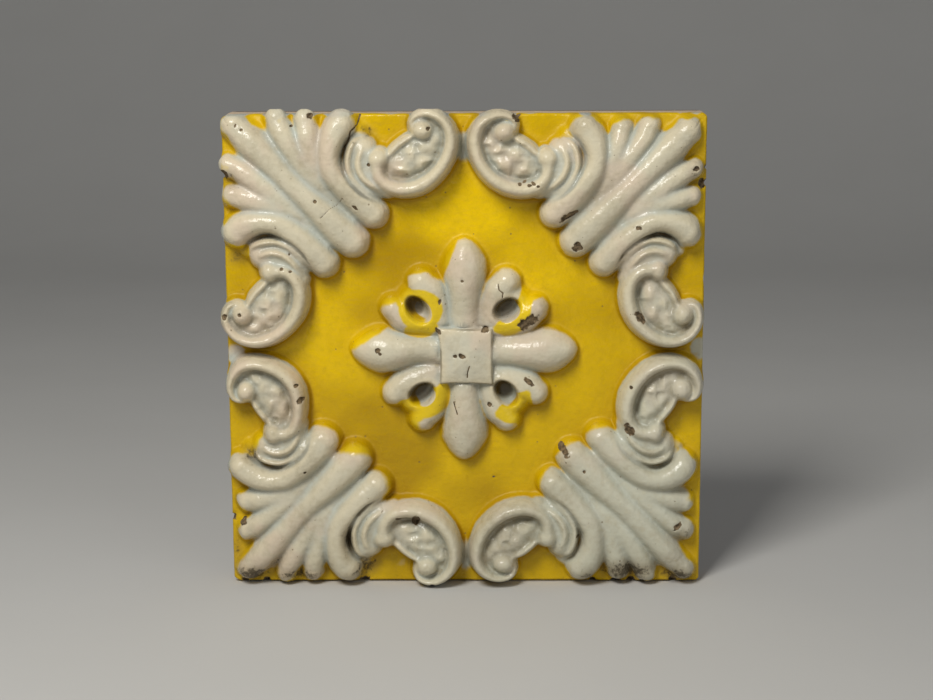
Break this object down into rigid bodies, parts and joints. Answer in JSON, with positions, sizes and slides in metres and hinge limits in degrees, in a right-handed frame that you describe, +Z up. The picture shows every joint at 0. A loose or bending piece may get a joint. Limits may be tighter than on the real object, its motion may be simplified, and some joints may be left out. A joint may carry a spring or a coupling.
{
  "type": "relief wall tile",
  "caption": "Square glazed earthenware wall tile with mirrored scroll-and-leaf ornament in the corners and a petalled flower on a square boss in the middle.",
  "frame": {"origin": "centre of the flat bedding face at the back of the tile", "axes": "+Y out of the back into the wall, the modelled face looks along -Y, +Z up, +X to the right seen from the front"},
  "size_m": [0.1411, 0.0207, 0.1422],
  "materials": {
    "glazed_earthenware": "glossy warm white tin glaze on the relief, yellow glaze on the ground, buff clay where chipped and on the back"
  },
  "bodies": {
    "root": {"relief_tile": "glazed_earthenware"}
  },
  "joints": []
}
